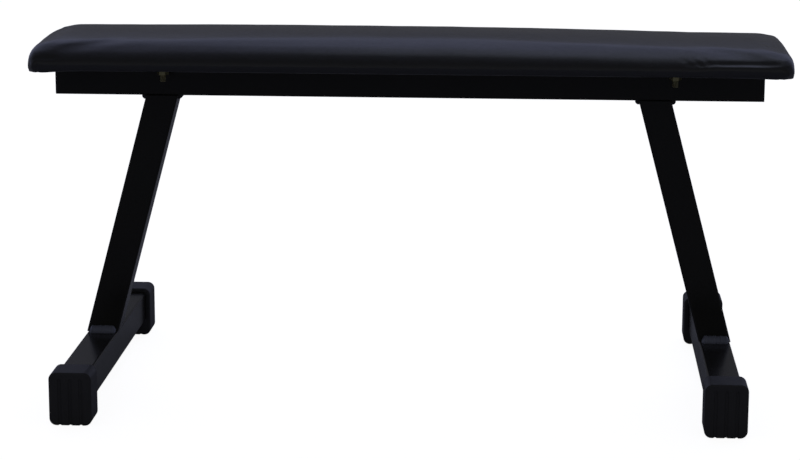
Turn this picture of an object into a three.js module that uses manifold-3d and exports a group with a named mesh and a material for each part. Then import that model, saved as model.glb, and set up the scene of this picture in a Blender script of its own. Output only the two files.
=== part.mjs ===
// A flat weight bench: a welded frame of square tube on four rubber boots, and an upholstered pad
// bolted to two cross plates. Millimetres, +Z up. X runs along the bench, Y across it, and the origin
// is on the floor under the middle of the pad.
import * as THREE from "three";
import { mergeVertices } from "three/addons/utils/BufferGeometryUtils.js";
import Module from "manifold-3d";

const wasm = await Module();
wasm.setup();

// ---------------------------------------------------------------------------------------------
// Driving dimensions
// ---------------------------------------------------------------------------------------------

const FIT = 0.3; // gap left between two pieces that touch

// The square tube that the whole frame is cut from.
const TUBE = 40;
const TUBE_WALL = 2;
const TUBE_CORNER = 3;

const RAIL_LENGTH = 898;
const PLUG_FLANGE = 3;
const PLUG_DEPTH = 18;
const PLUG_WALL = 2.5;

const LEG_TOP_X = 315; // from the middle of the frame to a leg's centre line, under the rail
const LEG_LEAN = THREE.MathUtils.degToRad(15);
const LEG_RISE = 313.5;

const FOOT_LENGTH = 483;

const BOOT_SOLE = 21; // rubber under the foot tube
const BOOT_WALL = 6;
const BOOT_TOP_WALL = 5.3;
const BOOT_END_WALL = 4;
const BOOT_GRIP = 39; // how far a boot is pushed over its tube
const BOOT_CORNER = 9;
const BOOT_EDGE = 2;
const TREAD_COUNT = 3;
const TREAD_PITCH = 13;
const TREAD_RADIUS = 3;
const TREAD_DEPTH = 1.2;
const TREAD_MARGIN = 10; // plain rubber above the grooves in the end face

const FOOT_WELD_SIZE = 8;
const RAIL_WELD_SIZE = 5;
const WELD_BULGE = 0.25;
const PLATE_WELD_SIZE = 3.5;

// The cross plates that carry the pad. They sit at different distances from the middle.
const PLATE_LEFT_X = 308;
const PLATE_RIGHT_X = 338;
const PLATE_WIDTH = 40;
const PLATE_LENGTH = 140;
const PLATE_THICKNESS = 3;

const BOLT_SPACING = 104;
const BOLT_DIAMETER = 8;
const BOLT_LENGTH = 30;
const BOLT_HEAD_DIAMETER = 20;
const BOLT_HEAD_HEIGHT = 4;
const BOLT_NECK = 4;
const HOLE_CLEARANCE = 0.5; // added to a bolt's radius wherever it passes through a hole
const WASHER_DIAMETER = 18;
const WASHER_THICKNESS = 1.6;
const NUT_ACROSS_FLATS = 13;
const NUT_HEIGHT = 6.5;

const PAD_LENGTH = 955;
const PAD_WIDTH = 240;
const PAD_CROWN = 9;
const PAD_CORNER = 29;
const PAD_EDGE_RADIUS = 29;
const PAD_LOWER_EDGE = 3;
const COVER_THICKNESS = 1.2;
const COVER_HEM = 30; // width of the cover that is folded under the board
const HEM_CORNER = 12;
const BOARD_THICKNESS = 12;
const BOARD_MARGIN = 1.5; // foam between the board's upper edge and the cover

const FRAME_SHIFT = -4; // the pad is bolted on slightly off the middle of the frame

// ---------------------------------------------------------------------------------------------
// Levels and sizes that follow from the values above
// ---------------------------------------------------------------------------------------------

const FOOT_BOTTOM = BOOT_SOLE + FIT;
const FOOT_TOP = FOOT_BOTTOM + TUBE;
const LEG_BOTTOM = FOOT_TOP + FIT;
const LEG_TOP = LEG_BOTTOM + LEG_RISE;
const RAIL_BOTTOM = LEG_TOP + FIT;
const RAIL_TOP = RAIL_BOTTOM + TUBE;
const PLATE_BOTTOM = RAIL_TOP + FIT;
const PLATE_TOP = PLATE_BOTTOM + PLATE_THICKNESS;
const PAD_BOTTOM = PLATE_TOP + FIT;
const BOARD_BOTTOM = PAD_BOTTOM + COVER_THICKNESS + FIT;
const BOARD_TOP = BOARD_BOTTOM + BOARD_THICKNESS;
const BOARD_INSET = COVER_THICKNESS + drawnIn(BOARD_TOP) + BOARD_MARGIN;

const FOOT_X = LEG_TOP_X + LEG_RISE * Math.tan(LEG_LEAN);
const BOOT_DEPTH = BOOT_GRIP + FIT + BOOT_END_WALL;
const BOOT_HEIGHT = BOOT_SOLE + TUBE + 2 * FIT + BOOT_TOP_WALL;
const BOOT_WIDTH = TUBE + 2 * (FIT + BOOT_WALL);
const BOOT_FACE_Y = FOOT_LENGTH / 2 + FIT + BOOT_END_WALL; // from the middle to a boot's end face

const HOLE_RADIUS = BOLT_DIAMETER / 2 + HOLE_CLEARANCE;
const BOLT_SHOULDER = BOARD_TOP - BOLT_HEAD_HEIGHT - FIT; // underside of a bolt's domed head
const WASHER_TOP = PLATE_BOTTOM - FIT;
const NUT_TOP = WASHER_TOP - WASHER_THICKNESS - FIT;

const ENDS = [
  { side: "left", sign: -1, plateX: -PLATE_LEFT_X },
  { side: "right", sign: 1, plateX: PLATE_RIGHT_X },
];
const ROWS = [
  { row: "front", sign: -1 },
  { row: "rear", sign: 1 },
];

// How far the pad's quarter-round side has drawn in from the pad's widest outline at a height.
function drawnIn(z) {
  const above = Math.min(Math.max(z - PAD_BOTTOM - PAD_LOWER_EDGE, 0), PAD_EDGE_RADIUS);
  return PAD_EDGE_RADIUS - Math.sqrt(PAD_EDGE_RADIUS ** 2 - above ** 2);
}

// ---------------------------------------------------------------------------------------------
// Materials
// ---------------------------------------------------------------------------------------------

const FINISHES = {
  powderCoat: { color: 0x0c0c0d, roughness: 0.28, metalness: 0.0 },
  weldBead: { color: 0x16161a, roughness: 0.35, metalness: 0.1 },
  bootRubber: { color: 0x141417, roughness: 0.62, metalness: 0.0 },
  plugPlastic: { color: 0x101012, roughness: 0.5, metalness: 0.0 },
  zinc: { color: 0xb9a66a, roughness: 0.35, metalness: 0.9 },
  vinyl: { color: 0x17171d, roughness: 0.42, metalness: 0.0 },
  foam: { color: 0xcfc7a8, roughness: 0.95, metalness: 0.0 },
  plywood: { color: 0xb48a5a, roughness: 0.8, metalness: 0.0 },
  backingCloth: { color: 0x101010, roughness: 0.9, metalness: 0.0 },
};

// ---------------------------------------------------------------------------------------------
// Shapes and solids
// ---------------------------------------------------------------------------------------------

function solidFrom(geometry) {
  const plain = geometry.clone();
  plain.deleteAttribute("normal");
  plain.deleteAttribute("uv");
  const merged = mergeVertices(plain, 1e-4);
  return new wasm.Manifold(
    new wasm.Mesh({
      numProp: 3,
      vertProperties: new Float32Array(merged.attributes.position.array),
      triVerts: new Uint32Array(merged.index.array),
    }),
  );
}

function geometryFrom(solid) {
  const mesh = solid.getMesh();
  const geometry = new THREE.BufferGeometry();
  geometry.setAttribute("position", new THREE.BufferAttribute(mesh.vertProperties, 3));
  geometry.setIndex(new THREE.BufferAttribute(mesh.triVerts, 1));
  const flat = geometry.toNonIndexed();
  flat.computeVertexNormals();
  return flat;
}

function cutAway(geometry, cutters) {
  let solid = solidFrom(geometry);
  for (const cutter of cutters) {
    solid = solid.subtract(solidFrom(cutter));
  }
  return geometryFrom(solid);
}

function roundedRectangle(width, height, radius, path = new THREE.Shape()) {
  const x = width / 2;
  const y = height / 2;
  path.moveTo(-x + radius, -y);
  path.lineTo(x - radius, -y);
  path.absarc(x - radius, -y + radius, radius, -Math.PI / 2, 0);
  path.lineTo(x, y - radius);
  path.absarc(x - radius, y - radius, radius, 0, Math.PI / 2);
  path.lineTo(-x + radius, y);
  path.absarc(-x + radius, y - radius, radius, Math.PI / 2, Math.PI);
  path.lineTo(-x, -y + radius);
  path.absarc(-x + radius, -y + radius, radius, Math.PI, 1.5 * Math.PI);
  path.closePath();
  return path;
}

function roundHole(x, y, radius) {
  const path = new THREE.Path();
  path.absarc(x, y, radius, 0, 2 * Math.PI);
  return path;
}

// A flat sheet or bar: the shape, drawn in X and Y, stands from z = 0 up to its thickness.
function prism(shape, thickness, curveSegments = 6) {
  return new THREE.ExtrudeGeometry(shape, { depth: thickness, bevelEnabled: false, curveSegments });
}

// A length of the square tube along Z, with its middle at the origin and both ends open.
function squareTube(length) {
  const shape = roundedRectangle(TUBE, TUBE, TUBE_CORNER);
  const bore = TUBE - 2 * TUBE_WALL;
  shape.holes.push(roundedRectangle(bore, bore, TUBE_CORNER - TUBE_WALL, new THREE.Path()));
  return prism(shape, length).translate(0, 0, -length / 2);
}

// A crowned cushion form. It is a stack of rounded rectangles: a small lower edge, a quarter-round
// side, and then a shallow rise to the middle. inset moves every face inwards by the same amount.
function crownedBlock(inset) {
  const bottom = PAD_BOTTOM + inset;
  const lower = PAD_LOWER_EDGE - inset;
  const upper = PAD_EDGE_RADIUS - inset;
  const rings = [];
  for (let i = 0; i <= 2; i += 1) {
    const angle = (i / 2) * (Math.PI / 2);
    rings.push({ shrink: lower * (1 - Math.sin(angle)), z: bottom + lower * (1 - Math.cos(angle)) });
  }
  for (let i = 1; i <= 8; i += 1) {
    const angle = (i / 8) * (Math.PI / 2);
    rings.push({ shrink: upper * (1 - Math.cos(angle)), z: bottom + lower + upper * Math.sin(angle) });
  }
  const halfWidth = PAD_WIDTH / 2 - inset;
  const crownRun = halfWidth - upper - 1;
  for (let i = 1; i <= 6; i += 1) {
    const t = i / 6;
    const rise = PAD_CROWN * (1 - (1 - t) ** 2);
    rings.push({ shrink: upper + crownRun * t, z: bottom + lower + upper + rise });
  }
  return stackOfRings(rings, PAD_LENGTH / 2 - inset, halfWidth, PAD_CORNER - inset);
}

function ringPoints(halfLength, halfWidth, radius, z) {
  const points = [];
  const steps = 6;
  for (let quarter = 0; quarter < 4; quarter += 1) {
    const cx = (quarter === 0 || quarter === 3 ? 1 : -1) * (halfLength - radius);
    const cy = (quarter < 2 ? 1 : -1) * (halfWidth - radius);
    for (let i = 0; i <= steps; i += 1) {
      const angle = (quarter + i / steps) * (Math.PI / 2);
      points.push([cx + radius * Math.cos(angle), cy + radius * Math.sin(angle), z]);
    }
  }
  return points;
}

// A closed solid through a stack of rounded rectangles, capped by a fan at each end.
function stackOfRings(rings, halfLength, halfWidth, corner) {
  const positions = [];
  const faces = [];
  for (const { shrink, z } of rings) {
    const x = halfLength - shrink;
    const y = halfWidth - shrink;
    const radius = Math.min(corner, y * 0.98);
    positions.push(...ringPoints(x, y, radius, z));
  }
  const count = positions.length / rings.length;
  for (let ring = 0; ring + 1 < rings.length; ring += 1) {
    for (let i = 0; i < count; i += 1) {
      const a = ring * count + i;
      const b = ring * count + ((i + 1) % count);
      faces.push([a, b, b + count], [a, b + count, a + count]);
    }
  }
  const low = positions.push([0, 0, rings[0].z]) - 1;
  const high = positions.push([0, 0, rings[rings.length - 1].z]) - 1;
  const top = (rings.length - 1) * count;
  for (let i = 0; i < count; i += 1) {
    const next = (i + 1) % count;
    faces.push([low, next, i], [high, top + i, top + next]);
  }
  const geometry = new THREE.BufferGeometry();
  geometry.setAttribute("position", new THREE.Float32BufferAttribute(positions.flat(), 3));
  geometry.setIndex(faces.flat());
  return geometry;
}

// A fillet weld along Z between two faces that meet at the given angle. The first face lies along
// +X, and the bead is held FIT clear of both.
function weldBead(length, size, angle) {
  const shape = new THREE.Shape();
  const away = FIT / Math.sin(angle / 2);
  const apex = new THREE.Vector2(away * Math.cos(angle / 2), away * Math.sin(angle / 2));
  const onFirst = new THREE.Vector2(apex.x + size, apex.y);
  const onSecond = new THREE.Vector2(
    apex.x + size * Math.cos(angle),
    apex.y + size * Math.sin(angle),
  );
  const bulge = new THREE.Vector2()
    .addVectors(onFirst, onSecond)
    .multiplyScalar(0.5)
    .sub(apex)
    .multiplyScalar(1 + 2 * WELD_BULGE)
    .add(apex);
  shape.moveTo(apex.x, apex.y);
  shape.lineTo(onFirst.x, onFirst.y);
  shape.quadraticCurveTo(bulge.x, bulge.y, onSecond.x, onSecond.y);
  shape.closePath();
  return prism(shape, length, 5).translate(0, 0, -length / 2);
}

// ---------------------------------------------------------------------------------------------
// Assembly helpers
// ---------------------------------------------------------------------------------------------

const bench = new THREE.Group();
const frame = new THREE.Group();
frame.position.x = FRAME_SHIFT;
bench.add(frame);

function addPiece(parent, name, geometry, finish, position = [0, 0, 0], turn = 0) {
  const mesh = new THREE.Mesh(geometry, new THREE.MeshStandardMaterial(FINISHES[finish]));
  mesh.name = name;
  mesh.position.set(...position);
  mesh.rotation.z = turn;
  parent.add(mesh);
}

// ---------------------------------------------------------------------------------------------
// Rail
// ---------------------------------------------------------------------------------------------

function addRail() {
  const rail = squareTube(RAIL_LENGTH).rotateY(Math.PI / 2);
  addPiece(frame, "rail_tube", rail, "powderCoat", [0, 0, RAIL_BOTTOM + TUBE / 2]);
}

// A plug for the rail's open end: a flange as large as the tube, and a hollow stub inside the tube.
function railPlug() {
  const bore = TUBE - 2 * TUBE_WALL;
  const stub = bore - 2 * FIT;
  const hollow = stub - 2 * PLUG_WALL;
  const flange = prism(roundedRectangle(TUBE, TUBE, TUBE_CORNER), PLUG_FLANGE);
  const body = prism(roundedRectangle(stub, stub, 1.5), PLUG_DEPTH + 1);
  const cavity = prism(roundedRectangle(hollow, hollow, 1), PLUG_DEPTH);
  body.translate(0, 0, -PLUG_DEPTH);
  cavity.translate(0, 0, -PLUG_DEPTH - FIT);
  const joined = solidFrom(flange).add(solidFrom(body)).subtract(solidFrom(cavity));
  return geometryFrom(joined).rotateY(Math.PI / 2);
}

function addRailPlugs() {
  for (const { side, sign } of ENDS) {
    const turn = sign < 0 ? Math.PI : 0;
    const place = [sign * (RAIL_LENGTH / 2 + FIT), 0, RAIL_BOTTOM + TUBE / 2];
    addPiece(frame, `rail_plug_${side}`, railPlug(), "plugPlastic", place, turn);
  }
}

// ---------------------------------------------------------------------------------------------
// Legs and feet
// ---------------------------------------------------------------------------------------------

// A leaning length of tube, cut level at the foot and under the rail.
function leaningLeg() {
  const axisLength = LEG_RISE / Math.cos(LEG_LEAN);
  const tube = squareTube(axisLength + 2 * TUBE);
  tube.rotateY(-LEG_LEAN);
  const middleX = (LEG_TOP_X + FOOT_X) / 2;
  tube.translate(middleX, 0, (LEG_TOP + LEG_BOTTOM) / 2);
  const slab = new THREE.BoxGeometry(4 * TUBE + FOOT_X - LEG_TOP_X, 2 * TUBE, LEG_RISE);
  slab.translate(middleX, 0, (LEG_TOP + LEG_BOTTOM) / 2);
  return geometryFrom(solidFrom(tube).intersect(solidFrom(slab)));
}

function addLegs() {
  for (const { side, sign } of ENDS) {
    addPiece(frame, `leg_tube_${side}`, leaningLeg(), "powderCoat", [0, 0, 0], sign < 0 ? Math.PI : 0);
  }
}

function addFeet() {
  for (const { side, sign } of ENDS) {
    const foot = squareTube(FOOT_LENGTH).rotateX(Math.PI / 2);
    addPiece(frame, `foot_tube_${side}`, foot, "powderCoat", [sign * FOOT_X, 0, FOOT_BOTTOM + TUBE / 2]);
  }
}

// A rubber boot for the front end of a foot tube. Its end face is at y = 0, its sole at z = 0.
function footBoot() {
  const outline = roundedRectangle(BOOT_WIDTH, BOOT_HEIGHT, BOOT_CORNER);
  const block = new THREE.ExtrudeGeometry(outline, {
    depth: BOOT_DEPTH - 2 * BOOT_EDGE,
    bevelThickness: BOOT_EDGE,
    bevelSize: BOOT_EDGE,
    bevelOffset: -BOOT_EDGE,
    bevelSegments: 3,
    curveSegments: 6,
  });
  block.translate(0, 0, BOOT_EDGE - BOOT_DEPTH);
  block.rotateX(Math.PI / 2);
  block.translate(0, 0, BOOT_HEIGHT / 2);
  const bore = TUBE + 2 * FIT;
  const pocket = prism(roundedRectangle(bore, bore, TUBE_CORNER + FIT), BOOT_GRIP + FIT + 1);
  pocket.rotateX(Math.PI / 2);
  pocket.translate(0, BOOT_DEPTH + 1, FOOT_BOTTOM + TUBE / 2);
  return cutAway(block, [pocket, ...treadGrooves()]);
}

// Shallow round grooves: each one runs along the sole and up the end face.
function treadGrooves() {
  const outside = TREAD_RADIUS - TREAD_DEPTH;
  const rise = BOOT_HEIGHT - TREAD_MARGIN;
  const grooves = [];
  for (let i = 0; i < TREAD_COUNT; i += 1) {
    const x = (i - (TREAD_COUNT - 1) / 2) * TREAD_PITCH;
    const under = new THREE.CylinderGeometry(TREAD_RADIUS, TREAD_RADIUS, 3 * BOOT_DEPTH, 20);
    under.translate(x, 0, -outside);
    const upFace = new THREE.CapsuleGeometry(TREAD_RADIUS, 2 * rise, 4, 20);
    upFace.rotateX(Math.PI / 2);
    upFace.translate(x, -outside, 0);
    grooves.push(under, upFace);
  }
  return grooves;
}

function addBoots() {
  for (const end of ENDS) {
    for (const row of ROWS) {
      const name = `foot_boot_${row.row}_${end.side}`;
      const place = [end.sign * FOOT_X, row.sign * BOOT_FACE_Y, 0];
      addPiece(frame, name, footBoot(), "bootRubber", place, row.sign > 0 ? Math.PI : 0);
    }
  }
}

// ---------------------------------------------------------------------------------------------
// Welds
// ---------------------------------------------------------------------------------------------

const FLAT_OF_TUBE = TUBE - 2 * TUBE_CORNER;

function addFootWelds() {
  for (const end of ENDS) {
    for (const row of ROWS) {
      const bead = weldBead(FLAT_OF_TUBE, FOOT_WELD_SIZE, Math.PI / 2);
      bead.rotateX(Math.PI / 2);
      bead.rotateZ(-Math.PI / 2);
      const place = [end.sign * FOOT_X, (row.sign * TUBE) / 2, FOOT_TOP];
      const turn = row.sign < 0 ? 0 : Math.PI;
      addPiece(frame, `foot_weld_${row.row}_${end.side}`, bead, "weldBead", place, turn);
    }
  }
}

// Under the rail each leg has a bead on the side that faces the bench's end and on the side that
// faces its middle. The lean closes the first corner and opens the second.
function addRailWelds() {
  const halfCut = TUBE / Math.cos(LEG_LEAN) / 2;
  const sides = [
    { facing: "outer", sign: 1, angle: Math.PI / 2 - LEG_LEAN },
    { facing: "inner", sign: -1, angle: Math.PI / 2 + LEG_LEAN },
  ];
  for (const end of ENDS) {
    for (const { facing, sign, angle } of sides) {
      const bead = weldBead(FLAT_OF_TUBE, RAIL_WELD_SIZE, angle);
      bead.rotateX(-Math.PI / 2);
      const place = [end.sign * (LEG_TOP_X + sign * halfCut), 0, RAIL_BOTTOM];
      const turn = end.sign * sign < 0 ? Math.PI : 0;
      addPiece(frame, `rail_weld_${facing}_${end.side}`, bead, "weldBead", place, turn);
    }
  }
}

function addPlateWelds() {
  for (const end of ENDS) {
    for (const row of ROWS) {
      const bead = weldBead(PLATE_WIDTH - 2 * PLATE_WELD_SIZE, PLATE_WELD_SIZE, Math.PI / 2);
      bead.rotateX(-Math.PI / 2);
      bead.rotateZ(-Math.PI / 2);
      const place = [end.plateX, (row.sign * TUBE) / 2, PLATE_BOTTOM];
      const turn = row.sign < 0 ? 0 : Math.PI;
      addPiece(frame, `plate_weld_${row.row}_${end.side}`, bead, "weldBead", place, turn);
    }
  }
}

// ---------------------------------------------------------------------------------------------
// Cross plates and fasteners
// ---------------------------------------------------------------------------------------------

function addPlates() {
  for (const end of ENDS) {
    const shape = roundedRectangle(PLATE_WIDTH, PLATE_LENGTH, 5);
    for (const row of ROWS) {
      shape.holes.push(roundHole(0, (row.sign * BOLT_SPACING) / 2, HOLE_RADIUS));
    }
    const plate = prism(shape, PLATE_THICKNESS, 8);
    addPiece(frame, `cross_plate_${end.side}`, plate, "powderCoat", [end.plateX, 0, PLATE_BOTTOM]);
  }
}

// A carriage bolt that hangs from its domed head, with the underside of the head at z = 0.
function carriageBolt() {
  const radius = BOLT_DIAMETER / 2;
  const headRadius = BOLT_HEAD_DIAMETER / 2;
  const chamfer = 0.8;
  const profile = new THREE.Path();
  profile.moveTo(0, -BOLT_LENGTH);
  profile.lineTo(radius - chamfer, -BOLT_LENGTH);
  profile.lineTo(radius, -BOLT_LENGTH + chamfer);
  profile.lineTo(radius, 0);
  profile.lineTo(headRadius, 0);
  profile.lineTo(headRadius, 1);
  profile.quadraticCurveTo(headRadius * 0.6, BOLT_HEAD_HEIGHT, 0, BOLT_HEAD_HEIGHT);
  const turned = new THREE.LatheGeometry(profile.getPoints(4), 20).rotateX(Math.PI / 2);
  const neck = new THREE.BoxGeometry(BOLT_DIAMETER, BOLT_DIAMETER, BOLT_NECK + 0.5);
  neck.translate(0, 0, (0.5 - BOLT_NECK) / 2);
  return geometryFrom(solidFrom(turned).add(solidFrom(neck)));
}

function washer() {
  const shape = new THREE.Shape();
  shape.absarc(0, 0, WASHER_DIAMETER / 2, 0, 2 * Math.PI);
  shape.holes.push(roundHole(0, 0, HOLE_RADIUS));
  return prism(shape, WASHER_THICKNESS, 12).translate(0, 0, -WASHER_THICKNESS);
}

function hexNut() {
  const shape = new THREE.Shape();
  const reach = NUT_ACROSS_FLATS / 2 / Math.cos(Math.PI / 6);
  for (let i = 0; i < 6; i += 1) {
    const angle = (i * Math.PI) / 3;
    const corner = [reach * Math.cos(angle), reach * Math.sin(angle)];
    if (i === 0) {
      shape.moveTo(...corner);
    } else {
      shape.lineTo(...corner);
    }
  }
  shape.closePath();
  shape.holes.push(roundHole(0, 0, BOLT_DIAMETER / 2 + FIT));
  return prism(shape, NUT_HEIGHT, 12).translate(0, 0, -NUT_HEIGHT);
}

function addFasteners() {
  for (const end of ENDS) {
    for (const row of ROWS) {
      const x = end.plateX;
      const y = (row.sign * BOLT_SPACING) / 2;
      const where = `${row.row}_${end.side}`;
      addPiece(frame, `pad_bolt_${where}`, carriageBolt(), "zinc", [x, y, BOLT_SHOULDER]);
      addPiece(frame, `pad_washer_${where}`, washer(), "zinc", [x, y, WASHER_TOP]);
      addPiece(frame, `pad_nut_${where}`, hexNut(), "zinc", [x, y, NUT_TOP]);
    }
  }
}

// ---------------------------------------------------------------------------------------------
// Pad
// ---------------------------------------------------------------------------------------------

function boltPlaces() {
  const places = [];
  for (const end of ENDS) {
    for (const row of ROWS) {
      places.push([FRAME_SHIFT + end.plateX, (row.sign * BOLT_SPACING) / 2]);
    }
  }
  return places;
}

// The plywood board. Each hole has a round counterbore for the head and a square one for the neck.
function addBoard() {
  const length = PAD_LENGTH - 2 * BOARD_INSET;
  const width = PAD_WIDTH - 2 * BOARD_INSET;
  const shape = roundedRectangle(length, width, PAD_CORNER);
  const board = prism(shape, BOARD_THICKNESS).translate(0, 0, BOARD_BOTTOM);
  const headRadius = BOLT_HEAD_DIAMETER / 2 + HOLE_CLEARANCE;
  const neckSize = BOLT_DIAMETER + 2 * FIT;
  const headFloor = BOLT_SHOULDER - FIT;
  const neckFloor = BOLT_SHOULDER - BOLT_NECK - FIT;
  const cuts = [];
  for (const [x, y] of boltPlaces()) {
    const head = new THREE.CylinderGeometry(headRadius, headRadius, BOARD_THICKNESS, 24);
    head.rotateX(Math.PI / 2);
    head.translate(x, y, headFloor + BOARD_THICKNESS / 2);
    const neck = new THREE.BoxGeometry(neckSize, neckSize, BOARD_THICKNESS);
    neck.translate(x, y, neckFloor + BOARD_THICKNESS / 2);
    const shank = new THREE.CylinderGeometry(HOLE_RADIUS, HOLE_RADIUS, 3 * BOARD_THICKNESS, 24);
    shank.rotateX(Math.PI / 2);
    shank.translate(x, y, BOARD_BOTTOM);
    cuts.push(head, neck, shank);
  }
  addPiece(bench, "pad_board", cutAway(board, cuts), "plywood");
}

// The foam fills the cover above the board, and is cut level where it is glued to the board.
function addFoam() {
  const form = crownedBlock(COVER_THICKNESS + FIT);
  const depth = BOARD_TOP + FIT - PAD_BOTTOM;
  const below = new THREE.BoxGeometry(PAD_LENGTH, PAD_WIDTH, depth);
  below.translate(0, 0, PAD_BOTTOM + depth / 2);
  addPiece(bench, "pad_foam", cutAway(form, [below]), "foam");
}

// The cover is the outer form less the same form one thickness smaller, and it is open underneath
// inside its hem.
function addCover() {
  const opening = roundedRectangle(PAD_LENGTH - 2 * COVER_HEM, PAD_WIDTH - 2 * COVER_HEM, HEM_CORNER);
  const hole = prism(opening, 3 * COVER_THICKNESS).translate(0, 0, PAD_BOTTOM - COVER_THICKNESS);
  const cover = cutAway(crownedBlock(0), [crownedBlock(COVER_THICKNESS), hole]);
  addPiece(bench, "pad_cover", cover, "vinyl");
}

function addBackingCloth() {
  const length = PAD_LENGTH - 2 * COVER_HEM - 2 * FIT;
  const width = PAD_WIDTH - 2 * COVER_HEM - 2 * FIT;
  const shape = roundedRectangle(length, width, HEM_CORNER - FIT);
  for (const [x, y] of boltPlaces()) {
    shape.holes.push(roundHole(x, y, HOLE_RADIUS));
  }
  const cloth = prism(shape, COVER_THICKNESS, 8).translate(0, 0, PAD_BOTTOM);
  addPiece(bench, "pad_backing_cloth", cloth, "backingCloth");
}

addRail();
addRailPlugs();
addLegs();
addFeet();
addBoots();
addFootWelds();
addRailWelds();
addPlateWelds();
addPlates();
addFasteners();
addBoard();
addFoam();
addCover();
addBackingCloth();

export default bench;
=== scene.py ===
# %% [markdown]
# # A flat weight bench
# A padded board is bolted on a frame welded from black square tube. The engineering model of the
# bench is loaded first, as a fixed frame: the steel, the bolts and the sizes come from it. This
# lesson then adds what makes the bench look real: a finish for every piece, a vinyl cover stretched
# over foam and stapled under a board, and weld beads along the joints.

# %% Load the frame
import math
import random

import bmesh
import bpy
from mathutils import Matrix, Vector, noise
from mathutils.kdtree import KDTree


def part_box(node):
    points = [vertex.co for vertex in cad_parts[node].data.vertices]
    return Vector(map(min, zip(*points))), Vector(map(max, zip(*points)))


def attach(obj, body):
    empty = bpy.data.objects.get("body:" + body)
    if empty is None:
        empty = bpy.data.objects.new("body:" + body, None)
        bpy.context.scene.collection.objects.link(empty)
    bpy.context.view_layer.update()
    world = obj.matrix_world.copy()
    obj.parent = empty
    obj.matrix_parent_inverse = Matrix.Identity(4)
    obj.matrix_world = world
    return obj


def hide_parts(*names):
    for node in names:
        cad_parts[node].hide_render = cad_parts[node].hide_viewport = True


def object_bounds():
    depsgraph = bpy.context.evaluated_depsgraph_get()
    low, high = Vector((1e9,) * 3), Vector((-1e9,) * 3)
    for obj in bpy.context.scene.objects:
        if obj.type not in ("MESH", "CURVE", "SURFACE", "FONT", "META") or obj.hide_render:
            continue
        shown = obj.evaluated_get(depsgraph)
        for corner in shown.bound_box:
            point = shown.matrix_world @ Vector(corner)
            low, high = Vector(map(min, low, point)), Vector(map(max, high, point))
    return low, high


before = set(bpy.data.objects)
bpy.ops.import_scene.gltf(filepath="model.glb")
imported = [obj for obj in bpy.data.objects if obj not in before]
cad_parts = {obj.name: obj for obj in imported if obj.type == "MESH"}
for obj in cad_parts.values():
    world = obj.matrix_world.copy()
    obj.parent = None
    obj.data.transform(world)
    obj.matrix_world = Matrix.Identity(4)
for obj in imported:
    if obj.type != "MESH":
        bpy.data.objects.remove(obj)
cad_low, cad_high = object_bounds()
print("bench box, mm:", [round(1000 * (h - l)) for l, h in zip(cad_low, cad_high)])

# %% [markdown]
# ## Sizes
# Blender works in metres, so a named millimetre keeps the numbers readable. Every place on the bench
# is read from the box of a frame node, so the looks follow the frame if a size is changed there.

# %% Units and places
MM = 0.001

pad_low, pad_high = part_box("pad_cover")
board_low, board_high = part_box("pad_board")
rail_low, rail_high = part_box("rail_tube")
PAD_HALF_LENGTH = (pad_high.x - pad_low.x) / 2
PAD_HALF_WIDTH = (pad_high.y - pad_low.y) / 2
TUBE_SIZE = rail_high.z - rail_low.z
print("pad, mm:", round(2000 * PAD_HALF_LENGTH), "x", round(2000 * PAD_HALF_WIDTH))
print("tube, mm:", round(1000 * TUBE_SIZE))

# %% [markdown]
# ## Shader maths
# A material is a graph of nodes. Writing the sums as Python expressions is shorter than wiring each
# Math node by hand, so `Wire` stands for one output of a node: adding or multiplying wires adds the
# Math nodes. `Finish` holds the nodes of one material, or of the room around the bench, and its
# `node` method adds any other kind of node.

# %% Wire: one output of a node
class Wire:
    def __init__(self, finish, socket):
        self.finish = finish
        self.socket = socket

    def _maths(self, operation, first, second):
        settings = {"operation": operation}
        return self.finish.node("ShaderNodeMath", settings, {0: first, 1: second})

    def __add__(self, other):
        return self._maths("ADD", self, other)

    def __sub__(self, other):
        return self._maths("SUBTRACT", self, other)

    def __rsub__(self, other):
        return self._maths("SUBTRACT", other, self)

    def __mul__(self, other):
        return self._maths("MULTIPLY", self, other)

    __radd__ = __add__
    __rmul__ = __mul__


# %% Finish: the nodes of one material
class Finish:
    def __init__(self, owner):
        owner.use_nodes = True
        self.material = owner
        self.tree = owner.node_tree
        self.shader = self.tree.nodes.get("Principled BSDF")

    def node(self, kind, settings=None, inputs=None, output=0):
        made = self.tree.nodes.new(kind)
        for key, value in (settings or {}).items():
            if key == "stops":
                set_ramp(made.color_ramp, value)
            else:
                setattr(made, key, value)
        for key, value in (inputs or {}).items():
            self.join(value, made.inputs[key])
        return Wire(self, made.outputs[output])

    def join(self, value, socket):
        if isinstance(value, Wire):
            self.tree.links.new(value.socket, socket)
        else:
            socket.default_value = value

    def set(self, **values):
        for key, value in values.items():
            self.join(value, self.shader.inputs[key.replace("_", " ")])

    def place(self):
        return self.node("ShaderNodeTexCoord", output="Object")

    def noise(self, scale, detail=2.0, where=None):
        inputs = {"Vector": where or self.place(), "Scale": scale, "Detail": detail}
        return self.node("ShaderNodeTexNoise", inputs=inputs)

    def stretch(self, size):
        inputs = {"Vector": self.place(), "Scale": size}
        return self.node("ShaderNodeMapping", {"vector_type": "POINT"}, inputs)

    def ramp(self, factor, stops):
        return self.node("ShaderNodeValToRGB", {"stops": stops}, {"Fac": factor})

    def blend(self, factor, first, second):
        settings = {"data_type": "RGBA"}
        inputs = {"Factor": factor, 6: first, 7: second}
        return self.node("ShaderNodeMix", settings, inputs, output=2)

    def bump(self, height, distance, strength=1.0, under=None):
        inputs = {"Height": height, "Distance": distance, "Strength": strength}
        if under:
            inputs["Normal"] = under
        return self.node("ShaderNodeBump", inputs=inputs)


def set_ramp(ramp, stops):
    while len(ramp.elements) < len(stops):
        ramp.elements.new(1.0)
    for element, (position, colour) in zip(ramp.elements, stops):
        element.position = position
        element.color = colour


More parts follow.
